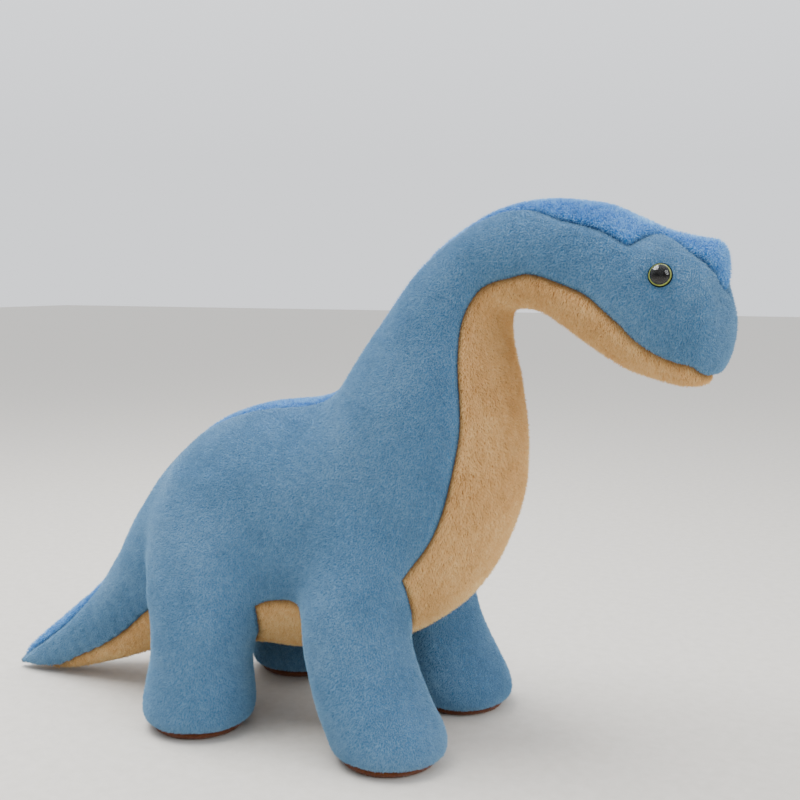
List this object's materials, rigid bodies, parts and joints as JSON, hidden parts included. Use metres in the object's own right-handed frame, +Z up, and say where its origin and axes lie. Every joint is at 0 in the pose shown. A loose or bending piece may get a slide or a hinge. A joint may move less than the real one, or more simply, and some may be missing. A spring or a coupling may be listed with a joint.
{
  "type": "stuffed dinosaur",
  "caption": "Standing plush dinosaur with a long raised neck, blunt crested head, tapered tail, tan underside, flat brown soles and domed eyes.",
  "frame": {"origin": "on the floor plane, centred under the bounding box of the standing toy", "axes": "+X towards the head, +Y towards the toy's left side, +Z up"},
  "size_m": [1, 0.3818, 0.657],
  "materials": {
    "plush_blue": "short dense blue plush pile",
    "plush_dark_blue": "short dense darker blue plush pile",
    "plush_tan": "slightly longer tan plush pile",
    "sole_pad": "flat brown suede-like plush",
    "stuffing": "white hollow polyester fibre",
    "eye_black": "glossy black moulded plastic",
    "eye_iris": "yellow-green printed ring",
    "eye_lens": "clear polished plastic dome",
    "eye_washer": "plain white plastic"
  },
  "bodies": {
    "torso": {"side_panel_right": "plush_blue", "side_panel_left": "plush_blue", "back_strip": "plush_dark_blue", "belly_panel": "plush_tan", "torso_filling": "stuffing", "inner_thigh_front_right": "plush_blue", "inner_thigh_front_left": "plush_blue", "inner_thigh_hind_right": "plush_blue", "inner_thigh_hind_left": "plush_blue"},
    "neck": {"neck_side_right": "plush_blue", "neck_side_left": "plush_blue", "neck_back_strip": "plush_dark_blue", "throat_panel": "plush_tan", "neck_filling": "stuffing"},
    "head": {"head_side_right": "plush_blue", "head_side_left": "plush_blue", "crest": "plush_dark_blue", "chin_panel": "plush_tan", "head_filling": "stuffing", "eye_back_right": "eye_black", "eye_iris_right": "eye_iris", "eye_lens_right": "eye_lens", "eye_washer_right": "eye_washer", "eye_back_left": "eye_black", "eye_iris_left": "eye_iris", "eye_lens_left": "eye_lens", "eye_washer_left": "eye_washer"},
    "tail": {"tail_side_right": "plush_blue", "tail_side_left": "plush_blue", "tail_back_strip": "plush_dark_blue", "tail_underside": "plush_tan", "tail_filling": "stuffing"},
    "leg_front_right": {"leg_outer_front_right": "plush_blue", "leg_inner_front_right": "plush_blue", "leg_filling_front_right": "stuffing", "sole_front_right": "sole_pad"},
    "leg_front_left": {"leg_outer_front_left": "plush_blue", "leg_inner_front_left": "plush_blue", "leg_filling_front_left": "stuffing", "sole_front_left": "sole_pad"},
    "leg_hind_right": {"leg_outer_hind_right": "plush_blue", "leg_inner_hind_right": "plush_blue", "leg_filling_hind_right": "stuffing", "sole_hind_right": "sole_pad"},
    "leg_hind_left": {"leg_outer_hind_left": "plush_blue", "leg_inner_hind_left": "plush_blue", "leg_filling_hind_left": "stuffing", "sole_hind_left": "sole_pad"}
  },
  "joints": [
    {"name": "neck_bend", "type": "hinge", "parent": "torso", "child": "neck", "pos_m": [0.138, 0, 0.372], "axis": [0, 1, 0], "range_deg": [-10, 12], "stiffness_Nm_per_rad": 20, "springref_deg": -1.15},
    {"name": "head_nod", "type": "hinge", "parent": "neck", "child": "head", "pos_m": [0.318, 0, 0.584], "axis": [0, 1, 0], "range_deg": [-12, 12], "stiffness_Nm_per_rad": 6, "springref_deg": -0.57},
    {"name": "tail_swing", "type": "hinge", "parent": "torso", "child": "tail", "pos_m": [-0.222, 0, 0.204], "axis": [0, 0, 1], "range_deg": [-15, 15], "stiffness_Nm_per_rad": 4},
    {"name": "front_right_leg_flex", "type": "hinge", "parent": "torso", "child": "leg_front_right", "pos_m": [0.108, -0.096, 0.218], "axis": [0, 1, 0], "range_deg": [-5, 5], "stiffness_Nm_per_rad": 15},
    {"name": "front_left_leg_flex", "type": "hinge", "parent": "torso", "child": "leg_front_left", "pos_m": [0.108, 0.096, 0.218], "axis": [0, 1, 0], "range_deg": [-5, 5], "stiffness_Nm_per_rad": 15},
    {"name": "hind_right_leg_flex", "type": "hinge", "parent": "torso", "child": "leg_hind_right", "pos_m": [-0.131, -0.112, 0.218], "axis": [0, 1, 0], "range_deg": [-6, 6], "stiffness_Nm_per_rad": 15},
    {"name": "hind_left_leg_flex", "type": "hinge", "parent": "torso", "child": "leg_hind_left", "pos_m": [-0.131, 0.112, 0.218], "axis": [0, 1, 0], "range_deg": [-6, 6], "stiffness_Nm_per_rad": 15}
  ]
}
